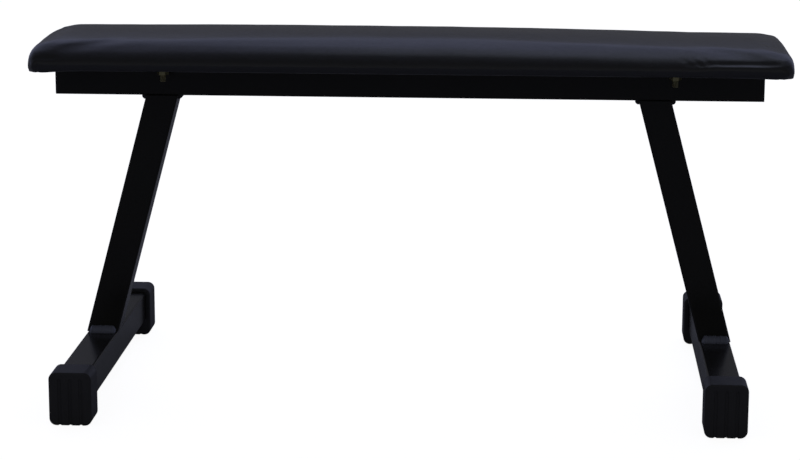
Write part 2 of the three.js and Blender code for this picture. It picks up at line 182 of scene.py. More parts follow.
def new_finish(name):
    return Finish(bpy.data.materials.new(name))


def grey(value):
    return (value, value, value, 1.0)


def lighter(colour, times, dust=0.0):
    return tuple(part * times + dust for part in colour[:3]) + (1.0,)


print("black paint, and the same a little worn:", grey(0.02), lighter(grey(0.02), 1.5))

# %% [markdown]
# ## Powder coat
# The frame is sprayed with dry paint powder and baked. The paint flows almost flat, so it mirrors the
# room, but it keeps a faint orange-peel ripple. Two sizes of noise give that ripple, and a third,
# much larger one changes the gloss a little, as handling does. The beads at the feet face upwards and
# get a pale bluish copy of the coat, a painted highlight for the light from above that they mirror;
# the beads under the rail are as black as the tube.

# %% Powder coat finish
RIPPLE_HEIGHT = 0.12 * MM
RIPPLE_STRENGTH = 0.35


def make_powder_coat(name, colour, ripple=1.0):
    coat = new_finish(name)
    handled = coat.noise(9.0, 3.0)
    dust = coat.noise(420.0, 2.0)
    coat.set(
        Base_Color=coat.blend(handled, colour, lighter(colour, 1.5)),
        Roughness=0.13 + handled * 0.10 + dust * 0.05,
        Normal=coat.bump(
            coat.noise(260.0, 1.0) + coat.noise(900.0, 1.0) * 0.35,
            RIPPLE_HEIGHT,
            RIPPLE_STRENGTH * ripple,
        ),
        Specular_IOR_Level=0.3,
    )
    return coat.material


BLACK_COAT = (0.0190, 0.0182, 0.0165, 1.0)
# Pale bluish copy of the black coat for the beads at the feet: a painted highlight, not a paler paint.
PAINTED_HIGHLIGHT_COAT = (0.2000, 0.2150, 0.2850, 1.0)
WELD_RIPPLE = 1.6
powder_coat = make_powder_coat("powder_coat", BLACK_COAT)
# The beads at the feet get the pale copy, a painted highlight; the beads under the rail keep the real
# black.
painted_highlight_weld_coat = make_powder_coat("coated_weld_painted_highlight", PAINTED_HIGHLIGHT_COAT, WELD_RIPPLE)
hidden_weld_coat = make_powder_coat("coated_weld_hidden", BLACK_COAT, WELD_RIPPLE)
print("coats:", powder_coat.name, painted_highlight_weld_coat.name, hidden_weld_coat.name)

# %% [markdown]
# ## Rubber and plastic
# The boots are moulded rubber with a fine pebbled surface that scatters light. The plugs in the
# rail's ends are harder plastic, so they shine a little more. Fine dust settles in the pebbles, which
# is why the colour is mixed by a noise instead of being one value.

# %% Moulded finishes
def make_moulded(name, colour, roughness, pebble):
    moulded = new_finish(name)
    patches = moulded.noise(45.0, 4.0)
    pebbles = moulded.noise(1400.0, 2.0)
    moulded.set(
        Base_Color=moulded.blend(patches * pebbles, colour, lighter(colour, 1.9, dust=0.002)),
        Roughness=roughness + patches * 0.16,
        Normal=moulded.bump(pebbles + moulded.noise(320.0, 2.0) * 0.5, pebble * MM, 0.5),
    )
    return moulded.material


boot_rubber = make_moulded("boot_rubber", (0.0350, 0.0350, 0.0400, 1.0), 0.42, 0.10)
plug_plastic = make_moulded("plug_plastic", (0.0130, 0.0130, 0.0138, 1.0), 0.34, 0.04)
print("moulded finishes:", boot_rubber.name, plug_plastic.name)

# %% [markdown]
# ## Plated steel
# Bolts, washers and nuts are zinc plated with a yellow passivation, which drifts between straw and a
# faint green. A wave along the height gives the bolts their thread, so `threaded` is only set for
# those.

# %% Plated finishes
THREAD_PITCH = 1.25 * MM
THREAD_DEPTH = 0.5 * MM
SCRATCH_DEPTH = 0.05 * MM


def make_plated(name, straw, green, threaded=False):
    plated = new_finish(name)
    drift = plated.noise(140.0, 3.0)
    plated.set(
        Base_Color=plated.blend(drift, straw, green),
        Metallic=1.0,
        Roughness=0.26 + drift * 0.2,
    )
    height = plated.noise(700.0, 2.0) * 0.2
    depth = THREAD_DEPTH if threaded else SCRATCH_DEPTH
    if threaded:
        turns = plated.stretch((0.0, 0.0, 1.0))
        settings = {"wave_type": "BANDS", "bands_direction": "Z", "wave_profile": "TRI"}
        inputs = {"Vector": turns, "Scale": math.pi / (10 * THREAD_PITCH)}
        height = height + plated.node("ShaderNodeTexWave", settings, inputs, output="Fac")
    plated.set(Normal=plated.bump(height, depth, 0.8))
    return plated.material


STRAW = (0.42, 0.34, 0.18, 1.0)
PALE_GREEN = (0.32, 0.34, 0.20, 1.0)
zinc_plate = make_plated("zinc_plate", STRAW, PALE_GREEN)
zinc_thread = make_plated("zinc_thread", STRAW, PALE_GREEN, threaded=True)
staple_wire = make_plated("staple_wire", (0.55, 0.55, 0.56, 1.0), (0.42, 0.43, 0.45, 1.0))
print("plated finishes:", zinc_plate.name, zinc_thread.name, staple_wire.name)

# %% [markdown]
# ## Vinyl
# The cover is black vinyl with a pressed leather grain. The grain is a field of rounded cells about a
# millimetre across with thin valleys between them, which is what a Voronoi texture draws: its
# distance to the nearest cell edge is the height of the grain. A broader noise breaks the grain up,
# and another changes the gloss where the vinyl is pulled tight. Real vinyl has a clear film on its
# hills, so the shader's coat layer is stronger there; it gives the pad its sheen at a low angle.

# %% Vinyl finish
SLACK_VINYL = (0.0080, 0.0086, 0.0150, 1.0)
TIGHT_VINYL = (0.0140, 0.0152, 0.0270, 1.0)
GRAIN_SCALE = 620.0
GRAIN_HEIGHT = 0.16 * MM
PIT_DEPTH = 0.9 * MM


def make_vinyl():
    vinyl = new_finish("black_vinyl")
    place = vinyl.place()
    stray = vinyl.node(
        "ShaderNodeTexNoise", inputs={"Vector": vinyl.place(), "Scale": 120.0}, output="Color"
    )
    wander = vinyl.node(
        "ShaderNodeMix", {"data_type": "VECTOR"}, {"Factor": 0.004, 4: place, 5: stray}, output=1
    )
    cells = vinyl.node(
        "ShaderNodeTexVoronoi",
        {"feature": "DISTANCE_TO_EDGE"},
        {"Vector": wander, "Scale": GRAIN_SCALE},
    )
    grain = vinyl.ramp(cells, [(0.0, grey(0.0)), (0.16, grey(0.8)), (0.5, grey(1.0))])
    pulled = vinyl.noise(11.0, 3.0)
    fine = vinyl.noise(2600.0, 2.0)
    pits = vinyl.noise(75.0, 4.0)
    vinyl.set(
        Base_Color=vinyl.blend(pulled * grain, SLACK_VINYL, TIGHT_VINYL),
        Roughness=0.33 + pulled * 0.14 + (1 - grain) * 0.10,
        Coat_Weight=0.55 + grain * 0.4,
        Coat_Roughness=0.2,
        Normal=vinyl.bump(
            fine * 0.3 + grain, GRAIN_HEIGHT, 0.5, under=vinyl.bump(pits, PIT_DEPTH, 0.35)
        ),
    )
    return vinyl.material


black_vinyl = make_vinyl()
print("vinyl nodes:", len(black_vinyl.node_tree.nodes))

# %% [markdown]
# ## Foam, plywood and backing cloth
# These are inside the pad or under it, so they show only from below or when the pad is taken apart.
# Foam is full of open cells, plywood shows its layers at the edges as bands of changing colour along
# the height, and the backing is a thin cloth of pressed fibres.

# %% Finishes inside the pad
def make_foam():
    foam = new_finish("cushion_foam")
    cells = foam.node(
        "ShaderNodeTexVoronoi", inputs={"Vector": foam.place(), "Scale": 700.0}
    )
    foam.set(
        Base_Color=foam.blend(cells, (0.62, 0.55, 0.36, 1.0), (0.40, 0.33, 0.19, 1.0)),
        Roughness=0.95,
        Normal=foam.bump(cells, 0.4 * MM, 0.7),
    )
    return foam.material


def make_plywood():
    plywood = new_finish("birch_plywood")
    along = plywood.noise(14.0, 5.0, plywood.stretch((0.25, 9.0, 5.0)))
    layers = plywood.noise(1.0, 0.0, plywood.stretch((0.0, 0.0, 420.0)))
    figure = along * 0.7 + layers * 0.3
    plywood.set(
        Base_Color=plywood.blend(figure, (0.50, 0.33, 0.17, 1.0), (0.31, 0.18, 0.08, 1.0)),
        Roughness=0.62 + along * 0.2,
        Normal=plywood.bump(along, 0.12 * MM, 0.6),
    )
    return plywood.material


def make_backing():
    backing = new_finish("backing_cloth")
    fibres = backing.noise(900.0, 6.0)
    backing.set(
        Base_Color=backing.blend(fibres, (0.004, 0.004, 0.004, 1.0), (0.022, 0.022, 0.023, 1.0)),
        Roughness=0.85,
        Normal=backing.bump(fibres, 0.15 * MM, 0.8),
    )
    return backing.material


cushion_foam = make_foam()
birch_plywood = make_plywood()
backing_cloth = make_backing()
print("finishes inside:", cushion_foam.name, birch_plywood.name, backing_cloth.name)

# %% [markdown]
# ## Give the frame nodes their finish
# The steel, plastic and wood pieces of the frame already have the right shape, so they keep it and
# only get a better material in their first slot.

# %% Finishes by the start of a node's name
NODE_FINISHES = {
    "rail_tube": powder_coat,
    "leg_tube": powder_coat,
    "foot_tube": powder_coat,
    "cross_plate": powder_coat,
    "rail_plug": plug_plastic,
    "foot_boot": boot_rubber,
    "foot_weld": painted_highlight_weld_coat,
    "rail_weld": hidden_weld_coat,
    "plate_weld": hidden_weld_coat,
    "pad_bolt": zinc_thread,
    "pad_washer": zinc_plate,
    "pad_nut": zinc_plate,
    "pad_board": birch_plywood,
    "pad_foam": cushion_foam,
    "pad_cover": black_vinyl,
    "pad_backing_cloth": backing_cloth,
}


def nodes_named(start):
    return sorted(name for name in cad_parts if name.startswith(start))


def dress_frame():
    for start, material in NODE_FINISHES.items():
        for name in nodes_named(start):
            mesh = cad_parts[name].data
            mesh.materials.clear()
            mesh.materials.append(material)


dress_frame()
print("frame nodes with a finish:", sum(len(nodes_named(s)) for s in NODE_FINISHES))


# %% [markdown]
# ## Making a piece
# Each new piece is built in a bmesh, which is Blender's editable mesh in memory. This helper writes
# it to an object at the origin, shades it smooth between its sharp edges, and hides the frame nodes
# that it stands for. Everything on this bench is rigid, so every piece rides on the one body.

# %% Turn a bmesh into a piece
SHARP_ANGLE = math.radians(38)
print("edges sharper than this stay sharp, degrees:", round(math.degrees(SHARP_ANGLE)))


def make_piece(name, bm, material, stands_for=(), sharp=SHARP_ANGLE):
    mesh = bpy.data.meshes.new(name)
    bm.to_mesh(mesh)
    bm.free()
    mesh.materials.clear()
    mesh.materials.append(material)
    mesh.shade_smooth()
    mesh.set_sharp_from_angle(angle=sharp)
    piece = bpy.data.objects.new(name, mesh)
    bpy.context.scene.collection.objects.link(piece)
    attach(piece, "root")
    if stands_for:
        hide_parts(*stands_for)
    return piece


# %% [markdown]
# ## The pad's form
# An upholsterer lays foam on a board, pulls the vinyl over it and staples it underneath. The cover
# is modelled the same way: first a plain block with rounded corners, a little smaller than the pad.
# The roll over the long sides is wider than the one at the ends. A bevel can only make round rolls,
# so the block is squeezed, beveled, and let out again. A voxel remesh then turns the block into an
# even net of small quads, because cloth only bends well where its cells are about the same size.

# %% Block with rounded edges
def round_edges(bm, edges, radius, segments):
    bmesh.ops.bevel(
        bm, geom=edges, offset=radius, offset_type="OFFSET", affect="EDGES",
        segments=segments, profile=0.5, material=-1,
    )


SWELL_ROOM = 2.5 * MM
ROLL = Vector((18, 42, 30)) * MM
ROLL_START = board_low.z + 1 * MM
HEM_LEVEL = pad_low.z + 0.5 * MM
LOWER_RADIUS = 3 * MM
CROWN = 9 * MM
ROLL_STEPS = 9


def make_block():
    bm = bmesh.new()
    bmesh.ops.create_cube(bm, size=1.0)
    low = Vector((pad_low.x + SWELL_ROOM, pad_low.y + SWELL_ROOM, HEM_LEVEL))
    high = Vector((pad_high.x - SWELL_ROOM, pad_high.y - SWELL_ROOM, ROLL_START + ROLL.z))
    bmesh.ops.scale(bm, vec=high - low, verts=bm.verts)
    bmesh.ops.translate(bm, vec=(high + low) / 2, verts=bm.verts)
    squeeze = Vector((1, ROLL.x / ROLL.y, ROLL.x / ROLL.z))
    bmesh.ops.scale(bm, vec=squeeze, verts=bm.verts)
    uprights = []
    for edge in bm.edges:
        along = edge.verts[0].co - edge.verts[1].co
        if abs(along.normalized().z) > 0.9:
            uprights.append(edge)
    round_edges(bm, uprights, ROLL.x, ROLL_STEPS)
    top = max(bm.faces, key=lambda face: face.calc_center_median().z)
    round_edges(bm, list(top.edges), ROLL.x * 0.98, ROLL_STEPS)
    base = min(bm.faces, key=lambda face: face.calc_center_median().z)
    round_edges(bm, list(base.edges), LOWER_RADIUS, 3)
    bmesh.ops.scale(bm, vec=Vector([1 / part for part in squeeze]), verts=bm.verts)
    return bm


# %% Remesh to an even net
VOXEL = 6 * MM


def at_work(mesh):
    helper = bpy.data.objects.new("at_work", mesh)
    bpy.context.scene.collection.objects.link(helper)
    return helper


def applied(helper):
    graph = bpy.context.evaluated_depsgraph_get()
    mesh = bpy.data.meshes.new_from_object(helper.evaluated_get(graph))
    bpy.data.objects.remove(helper)
    return mesh


def remeshed(bm):
    mesh = bpy.data.meshes.new("even_net")
    bm.to_mesh(mesh)
    bm.free()
    helper = at_work(mesh)
    remesh = helper.modifiers.new("remesh", "REMESH")
    remesh.mode = "VOXEL"
    remesh.voxel_size = VOXEL
    return applied(helper)


net = remeshed(make_block())
print("even net:", len(net.polygons), "quads of", round(1000 * VOXEL), "mm")

# %% [markdown]
# ## Swelling the cover
# Foam pushes on vinyl from inside, so the net becomes cloth with a little air pressure and no
# gravity, held fast where the staples hold it. The pressure never stops growing the shape, so the
# distance that a point may move is capped, softly, because a hard limit would leave a flat patch.

# %% Cloth under pressure
PRESSURE = 4.0
LAST_STEP = 20
SWELL_CAP = 2.5 * MM
STAPLED_BAND = 2 * MM


def swell(mesh):
    before = [v.co.copy() for v in mesh.vertices]
    helper = at_work(mesh)
    held = [i for i, co in enumerate(before) if co.z < HEM_LEVEL + STAPLED_BAND]
    helper.vertex_groups.new(name="stapled").add(held, 1.0, "REPLACE")
    cloth = helper.modifiers.new("cloth", "CLOTH")
    cloth.settings.vertex_group_mass = "stapled"
    cloth.settings.use_pressure = True
    cloth.settings.uniform_pressure_force = PRESSURE
    cloth.settings.effector_weights.gravity = 0.0
    cloth.point_cache.frame_start = 1
    cloth.point_cache.frame_end = LAST_STEP
    for step in range(1, LAST_STEP + 1):
        bpy.context.scene.frame_set(step)
    swollen = applied(helper)
    bpy.context.scene.frame_set(1)
    for vertex, start in zip(swollen.vertices, before):
        move = vertex.co - start
        far = move.length
        if far > 0:
            vertex.co = start + move * (SWELL_CAP * math.tanh(far / SWELL_CAP) / far)
    return swollen


cover_net = swell(net)
print("tallest point of the cover, mm:", round(1000 * max(v.co.z for v in cover_net.vertices), 1))

# %% [markdown]
# ## Fitting the cover to the bench
# The swollen net is stretched to the pad's exact box and crowned. The foam is softer toward the ends
# of the pad, more so on the right, where the cover dips by a few millimetres. The rolls are a little
# fuller than a round one, which also keeps the vinyl clear of the board's edge. `smooth_step` is the
# usual ease-in and ease-out curve.

# %% Fit the cover
RIGHT_DIP = 5.5 * MM
LEFT_DIP = 2.5 * MM
RIGHT_DIP_SPAN = (0.02, 0.45)
LEFT_DIP_SPAN = (0.10, 0.45)
RIGHT_FULLER = 4.5 * MM
LEFT_FULLER = 1.5 * MM
SIDE_FULLER = 2.3 * MM


def smooth_step(start, end, value):
    share = min(max((value - start) / (end - start), 0.0), 1.0)
    return share * share * (3 - 2 * share)


def fit_cover(bm):
    low = Vector([min(v.co[i] for v in bm.verts) for i in range(3)])
    high = Vector([max(v.co[i] for v in bm.verts) for i in range(3)])
    goal_low = Vector((pad_low.x, pad_low.y, HEM_LEVEL))
    goal_high = Vector((pad_high.x, pad_high.y, ROLL_START + ROLL.z))
    grown = Vector([(goal_high[i] - goal_low[i]) / (high[i] - low[i]) for i in range(3)])
    bmesh.ops.translate(bm, vec=-low, verts=bm.verts)
    bmesh.ops.scale(bm, vec=grown, verts=bm.verts)
    bmesh.ops.translate(bm, vec=goal_low, verts=bm.verts)
    for vertex in bm.verts:
        x, y, z = vertex.co
        height = max(z - ROLL_START, 0.0) / ROLL.z
        from_end = min((PAD_HALF_LENGTH - abs(x)) / ROLL.x, 1.0)
        crown = CROWN * (1 - (y / PAD_HALF_WIDTH) ** 2) * (1 - (1 - from_end) ** 2)
        fuller = RIGHT_FULLER if x > 0 else LEFT_FULLER
        vertex.co.x += math.copysign(fuller * 4 * from_end * (1 - from_end), x)
        dip = RIGHT_DIP * smooth_step(*RIGHT_DIP_SPAN, x) + LEFT_DIP * smooth_step(*LEFT_DIP_SPAN, -x)
        vertex.co.z += height * (crown - height * dip)
        vertex.co.y += math.copysign(SIDE_FULLER * 4 * height * (1 - min(height, 1.0)), y)


def subdivided(mesh):
    helper = at_work(mesh)
    finer = helper.modifiers.new("finer", "SUBSURF")
    finer.levels = 1
    finer.render_levels = 1
    return applied(helper)


cover = bmesh.new()
cover.from_mesh(subdivided(cover_net))
fit_cover(cover)
print("cover:", len(cover.faces), "faces after one subdivision")

# %% [markdown]
# ## Creases
# Vinyl shows how it was pulled. A crease is drawn as a path over the cover: every point near the
# path moves along its own normal, most in the middle of the path and not at all at its ends. A
# search tree finds the near points quickly, and each point of a path is first put on the nearest bit
# of cover.

# %% Raise or sink the cover along a path
def search_tree(bm):
    bm.verts.ensure_lookup_table()
    bm.normal_update()
    tree = KDTree(len(bm.verts))
    for vertex in bm.verts:
        tree.insert(vertex.co, vertex.index)
    tree.balance()
    return tree


def points_along(path, gap):
    corners = [Vector(corner) for corner in path]
    lengths = [(b - a).length for a, b in zip(corners, corners[1:])]
    whole = sum(lengths)
    passed = 0.0
    for a, b, length in zip(corners, corners[1:], lengths):
        count = max(2, round(length / gap))
        for step in range(count):
            yield (passed + length * step / count) / whole, a.lerp(b, step / count)
        passed += length


def raise_along(bm, tree, path, width, height):
    strongest = {}
    for share, point in points_along(path, width / 2):
        fade = math.sin(math.pi * share) ** 0.7
        for _, index, distance in tree.find_range(tree.find(point)[0], 2.5 * width):
            weight = fade * math.exp(-((distance / width) ** 2))
            strongest[index] = max(weight, strongest.get(index, 0.0))
    for index, weight in strongest.items():
        vertex = bm.verts[index]
        vertex.co += vertex.normal * (height * weight)


tree = search_tree(cover)
print("points in the search tree:", len(cover.verts))

# %% The folds at the ends of the front side
FRONT = pad_low.y
RIGHT_END = pad_high.x
LEFT_END = pad_low.x

# Each fold: where it starts and ends, its height over the board's underside, its width and its rise.
FOLDS = [
    (RIGHT_END - 135 * MM, RIGHT_END - 4 * MM, 20.0, 4.0, -1.5),
    (RIGHT_END - 125 * MM, RIGHT_END - 6 * MM, 12.0, 4.5, 1.3),
    (LEFT_END + 50 * MM, LEFT_END + 4 * MM, 16.5, 3.5, -0.9),
    (LEFT_END + 45 * MM, LEFT_END + 6 * MM, 10.5, 4.0, 0.8),
]
# Each pull: how far its upper and its lower end are from the right end, and its strength.
PULLS = [(139.5, 121.5, 0.70), (127.5, 111.5, 1.0), (113.5, 100.5, 0.6)]
PULL_WIDTH = 3.2 * MM
PULL_HIGH = board_low.z + 31.5 * MM
PULL_LOW = board_low.z + 10.5 * MM


def fold_ends(bm, tree):
    for start, end, above_board, width, rise in FOLDS:
        level = board_low.z + above_board * MM
        middle = ((start + end) / 2, FRONT, level + 0.5 * MM)
        path = [(start, FRONT, level), middle, (end, FRONT, level)]
        raise_along(bm, tree, path, width * MM, rise * MM)


def pull_diagonals(bm, tree):
    for high, low, strength in PULLS:
        upper = (RIGHT_END - high * MM, FRONT + 8 * MM, PULL_HIGH)
        path = [upper, (RIGHT_END - low * MM, FRONT, PULL_LOW)]
        raise_along(bm, tree, path, PULL_WIDTH, -1.1 * MM * strength)
        beside = [(x + 5 * MM, y, z) for x, y, z in path]
        raise_along(bm, tree, beside, PULL_WIDTH, 0.7 * MM * strength)


fold_ends(cover, tree)
pull_diagonals(cover, tree)
print("folds:", len(FOLDS), "and pulls:", len(PULLS))

# %% [markdown]
# ## Corners and staples
# At a corner the vinyl has nowhere to go, so it is gathered into pleats that run under the board,
# and the gathered vinyl hangs a little lower than the rest of the rim. Between two staples the side
# bulges very slightly. These are small moves of points that the cover already has.

# %% The pleats under the corners
PLEAT_HUB = 29 * MM
PLEAT_TURNS = (12, 31, 50, 72)
PLEAT_PATH = [(29, 13), (27, 1), (12, 0), (1, 0)]
PLEAT_WIDTH = 2.6 * MM
PLEAT_DEPTH = 0.75 * MM
CORNERS = [(-1, -1), (-1, 1), (1, -1), (1, 1)]


def pleat_corners(bm, tree):
    turns = random.Random(4)
    for side_x, side_y in CORNERS:
        hub = Vector((side_x * (PAD_HALF_LENGTH - PLEAT_HUB), side_y * (PAD_HALF_WIDTH - PLEAT_HUB), 0))
        for turn in PLEAT_TURNS:
            angle = math.radians(turn + turns.uniform(-5, 5))
            way = Vector((side_x * math.cos(angle), side_y * math.sin(angle), 0))
            path = []
            for out, up in PLEAT_PATH:
                path.append(hub + way * out * MM + Vector((0, 0, HEM_LEVEL + up * MM)))
            raise_along(bm, tree, path, PLEAT_WIDTH, -PLEAT_DEPTH)


pleat_corners(cover, tree)
print("pleats:", len(CORNERS) * len(PLEAT_TURNS))

# %% The gathered corners, the scallops between staples and the settled foam
LUMPS = {(-1, -1): 3.2, (1, -1): 1.8, (-1, 1): 2.2, (1, 1): 1.8}
LUMP_REACH = 34 * MM
STAPLE_GAP = 60 * MM
SCALLOP = 0.35 * MM


def gather_corners(bm):
    for (side_x, side_y), drop in LUMPS.items():
        hub = Vector((side_x * (PAD_HALF_LENGTH - 14 * MM), side_y * (PAD_HALF_WIDTH - 12 * MM)))
        for vertex in bm.verts:
            share = (vertex.co.xy - hub).length / LUMP_REACH
            low = 1 - smooth_step(HEM_LEVEL + 1 * MM, HEM_LEVEL + 15 * MM, vertex.co.z)
            inward = min(PAD_HALF_LENGTH - abs(vertex.co.x), PAD_HALF_WIDTH - abs(vertex.co.y))
            low *= 1 - smooth_step(9 * MM, 20 * MM, inward)
            if share < 2.5 and low > 0:
                vertex.co.z -= drop * MM * low * math.exp(-share * share)


def scallop_sides(bm):
    for vertex in bm.verts:
        along = vertex.co.x if abs(vertex.normal.y) > abs(vertex.normal.x) else vertex.co.y
        rise = (vertex.co.z - HEM_LEVEL) / (20 * MM)
        weight = smooth_step(0.0, 0.25, rise) * (1 - smooth_step(0.3, 1.0, rise))
        wave = math.cos(2 * math.pi * along / STAPLE_GAP + 0.8 * noise.noise(vertex.co * 9))
        vertex.co += vertex.normal * (SCALLOP * weight * wave)


def settle_surface(bm):
    for vertex in bm.verts:
        if vertex.co.z > HEM_LEVEL + 3 * MM:
            broad = noise.noise(vertex.co * 11.0) * 0.55
            small = noise.noise(vertex.co * 38.0 + Vector((3, 7, 1))) * 0.16
            vertex.co += vertex.normal * ((broad + small) * MM)


gather_corners(cover)
scallop_sides(cover)
settle_surface(cover)
print("lowest point of the cover, mm:", round(1000 * min(v.co.z for v in cover.verts), 1))

# %% [markdown]
# ## The folded hem
# Underneath, the vinyl only reaches 30 mm in from the edge. Four cutting planes mark that window in
# the underside, the faces inside it are deleted, and a Solidify modifier gives the open shell the
# thickness of real vinyl, inward, so that the outside stays where it is.

# %% Cut the window and thicken the vinyl
HEM_WIDTH = 30 * MM
VINYL_THICKNESS = 0.9 * MM
COVER_SHARP = math.radians(60)


def underside(bm):
    return [face for face in bm.faces if face.normal.z < -0.5]


def cut_window(bm):
    bm.normal_update()
    half_x = PAD_HALF_LENGTH - HEM_WIDTH
    half_y = PAD_HALF_WIDTH - HEM_WIDTH
    for place, way in (((half_x, 0, 0), (1, 0, 0)), ((0, half_y, 0), (0, 1, 0))):
        for sign in (-1, 1):
            faces = underside(bm)
            parts = set(faces)
            for face in faces:
                parts.update(face.edges)
                parts.update(face.verts)
            bmesh.ops.bisect_plane(bm, geom=list(parts), plane_co=sign * Vector(place), plane_no=way)
    inside = []
    for face in underside(bm):
        middle = face.calc_center_median()
        if abs(middle.x) < half_x and abs(middle.y) < half_y:
            inside.append(face)
    bmesh.ops.delete(bm, geom=inside, context="FACES")


core = bmesh.new()
core.from_mesh(cover_net)
fit_cover(core)
cut_window(cover)
cover_piece = make_piece(
    "pad_cover_vinyl", cover, black_vinyl, ["pad_cover"], COVER_SHARP
)
wall = cover_piece.modifiers.new("vinyl_thickness", "SOLIDIFY")
wall.thickness = VINYL_THICKNESS
wall.offset = -1.0
print("cover:", len(cover_piece.data.polygons), "faces with the window cut")

# %% [markdown]
# ## The foam core
# The foam is the inside of the same form. The coarser net is moved inward by the vinyl's thickness
# and the depth of the deepest crease, so that no foam shows through a fold. It is cut level with the
# top of the board, and the cut is closed by one flat face.

# %% Foam between the cover and the board
FOAM_INSET = 4.3 * MM
FOAM_GAP = 0.3 * MM


def make_core(bm):
    bm.normal_update()
    for vertex, normal in [(v, v.normal.copy()) for v in bm.verts]:
        vertex.co -= normal * FOAM_INSET
    level = board_high.z + FOAM_GAP
    parts = list(bm.verts) + list(bm.edges) + list(bm.faces)
    cut = bmesh.ops.bisect_plane(
        bm, geom=parts, plane_co=(0, 0, level), plane_no=(0, 0, 1), clear_inner=True
    )
    rim = [part for part in cut["geom_cut"] if isinstance(part, bmesh.types.BMEdge)]
    bmesh.ops.edgeloop_fill(bm, edges=rim)
    bmesh.ops.recalc_face_normals(bm, faces=bm.faces)
    return make_piece("pad_foam_core", bm, cushion_foam, ["pad_foam"])


foam_core = make_core(core)
print("foam core:", len(foam_core.data.polygons), "faces")

# %% [markdown]
# ## The backing cloth
# A thin black cloth hides the raw edges of the vinyl. It is one flat sheet, stretched over the hem,
# with a small window for each bolt. Parallel cuts turn the sheet into cells of about a centimetre,
# so that it can ripple a little between the staples.

# %% Cut and stretch the backing cloth
CLOTH_OVERLAP = 9 * MM
CLOTH_INSET = HEM_WIDTH - CLOTH_OVERLAP
CLOTH_HALF = Vector((PAD_HALF_LENGTH - CLOTH_INSET, PAD_HALF_WIDTH - CLOTH_INSET))
CLOTH_THICKNESS = 0.2 * MM
CLOTH_CORNER = 10 * MM
CLOTH_RIPPLE = 0.22 * MM
BOLT_WINDOW = 5.5 * MM
CELL = 10 * MM


def middle_of(name):
    low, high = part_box(name)
    return (low + high) / 2


bolt_places = [middle_of(name) for name in nodes_named("pad_bolt")]


def cut_across(bm, axis, place):
    parts = list(bm.verts) + list(bm.edges) + list(bm.faces)
    spot = Vector((0, 0, 0))
    spot[axis] = place
    way = Vector((0, 0, 0))
    way[axis] = 1
    bmesh.ops.bisect_plane(bm, geom=parts, plane_co=spot, plane_no=way)


def make_backing_cloth():
    bm = bmesh.new()
    bmesh.ops.create_grid(bm, x_segments=1, y_segments=1, size=1.0)
    bmesh.ops.scale(bm, vec=(CLOTH_HALF.x, CLOTH_HALF.y, 1), verts=bm.verts)
    bmesh.ops.bevel(
        bm, geom=list(bm.verts), offset=CLOTH_CORNER, affect="VERTICES",
        segments=4, profile=0.5, material=-1,
    )
    for axis in (0, 1):
        count = round(2 * CLOTH_HALF[axis] / CELL)
        for step in range(1, count):
            cut_across(bm, axis, -CLOTH_HALF[axis] + step * 2 * CLOTH_HALF[axis] / count)
        for spot in bolt_places:
            cut_across(bm, axis, spot[axis] - BOLT_WINDOW)
            cut_across(bm, axis, spot[axis] + BOLT_WINDOW)
    windows = []
    for face in bm.faces:
        centre = face.calc_center_median()
        for spot in bolt_places:
            if abs(centre.x - spot.x) < BOLT_WINDOW and abs(centre.y - spot.y) < BOLT_WINDOW:
                windows.append(face)
    bmesh.ops.delete(bm, geom=windows, context="FACES")
    bmesh.ops.remove_doubles(bm, verts=bm.verts, dist=0.2 * MM)
    for vertex in bm.verts:
        ripple = 0.5 + 0.5 * noise.noise(vertex.co * 24.0)
        vertex.co.z = pad_low.z + CLOTH_RIPPLE * ripple
    bmesh.ops.recalc_face_normals(bm, faces=bm.faces)
    if bm.faces[:][0].normal.z > 0:
        bmesh.ops.reverse_faces(bm, faces=bm.faces)
    return make_piece("pad_backing", bm, backing_cloth, ["pad_backing_cloth"])


backing = make_backing_cloth()
sheet_wall = backing.modifiers.new("cloth_thickness", "SOLIDIFY")
sheet_wall.thickness = CLOTH_THICKNESS
sheet_wall.offset = -1.0
print("backing cloth, mm:", round(2000 * CLOTH_HALF.x), "x", round(2000 * CLOTH_HALF.y))

# %% [markdown]
# ## Staples
# Staples fix the cloth and the vinyl to the board all round. Each is a bent wire: a small ring is
# extruded from bend to bend, and its two ends turn up into the cloth. They are set by hand, so none
# is quite straight; a seeded random number keeps them the same each time.

# %% Drive the staples
WIRE = 0.7 * MM
WIRE_PATH = [
    (-5.0, 0.9), (-4.8, 0.35), (-4.3, 0.05), (0.0, 0.0), (4.3, 0.05), (4.8, 0.35), (5.0, 0.9),
]


def add_staple(bm, place, turn):
    ring = bmesh.ops.create_circle(bm, cap_ends=True, segments=8, radius=WIRE / 2)["verts"]
    bmesh.ops.rotate(bm, matrix=Matrix.Rotation(math.pi / 2, 3, "Y"), verts=ring)
    rim = list({edge for vertex in ring for edge in vertex.link_edges})
    wire = list(ring)
    bends = [Vector((x, 0, z)) * MM for x, z in WIRE_PATH]
    bmesh.ops.translate(bm, vec=bends[0], verts=ring)
    for last, goal in zip(bends, bends[1:]):
        made = bmesh.ops.extrude_edge_only(bm, edges=rim)["geom"]
        ring = [part for part in made if isinstance(part, bmesh.types.BMVert)]
        rim = [part for part in made if isinstance(part, bmesh.types.BMEdge)]
        bmesh.ops.translate(bm, vec=goal - last, verts=ring)
        wire += ring
    bmesh.ops.edgeloop_fill(bm, edges=rim)
    bmesh.ops.rotate(bm, matrix=Matrix.Rotation(turn, 3, "Z"), verts=wire)
    bmesh.ops.translate(bm, vec=place, verts=wire)


